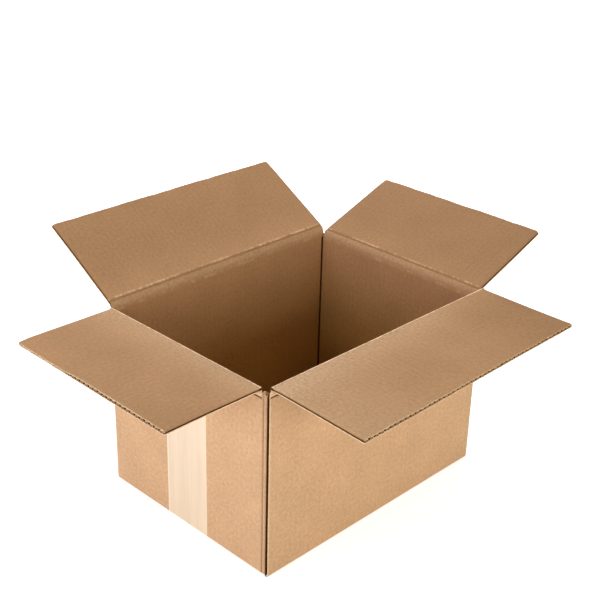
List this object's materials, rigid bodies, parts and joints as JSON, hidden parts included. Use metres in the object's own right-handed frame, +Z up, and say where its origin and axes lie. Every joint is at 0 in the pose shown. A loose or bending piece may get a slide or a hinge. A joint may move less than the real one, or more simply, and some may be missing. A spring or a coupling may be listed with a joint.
{
  "type": "open slotted corrugated cardboard box",
  "caption": "Plain corrugated carton taped along its bottom, with its top flaps folded open on scored folds.",
  "frame": {"origin": "middle of the base, on the surface that the box stands on", "axes": "+X along the length, to the right as seen from the front; +Y along the width, to the back; +Z up"},
  "size_m": [0.4493, 0.3773, 0.2263],
  "materials": {
    "carton_board": "matte kraft paper",
    "flap_board": "matte kraft paper",
    "packing_tape": "satin cream tape"
  },
  "bodies": {
    "carton_body": {"carton": "carton_board", "bottom_tape": "packing_tape"},
    "front_flap": {"flap_front": "flap_board"},
    "back_flap": {"flap_back": "flap_board"},
    "left_flap": {"flap_left": "flap_board"},
    "right_flap": {"flap_right": "flap_board"}
  },
  "joints": [
    {"name": "front_fold", "type": "hinge", "parent": "carton_body", "child": "front_flap", "pos_m": [0, -0.1, 0.176], "axis": [1, 0, 0], "range_deg": [-179.5, 74]},
    {"name": "back_fold", "type": "hinge", "parent": "carton_body", "child": "back_flap", "pos_m": [0, 0.1, 0.176], "axis": [-1, 0, 0], "range_deg": [-148.5, 105]},
    {"name": "left_fold", "type": "hinge", "parent": "carton_body", "child": "left_flap", "pos_m": [-0.1325, 0, 0.1725], "axis": [0, -1, 0], "range_deg": [-179.5, 75.5]},
    {"name": "right_fold", "type": "hinge", "parent": "carton_body", "child": "right_flap", "pos_m": [0.1325, 0, 0.1725], "axis": [0, 1, 0], "range_deg": [-160, 95]}
  ]
}
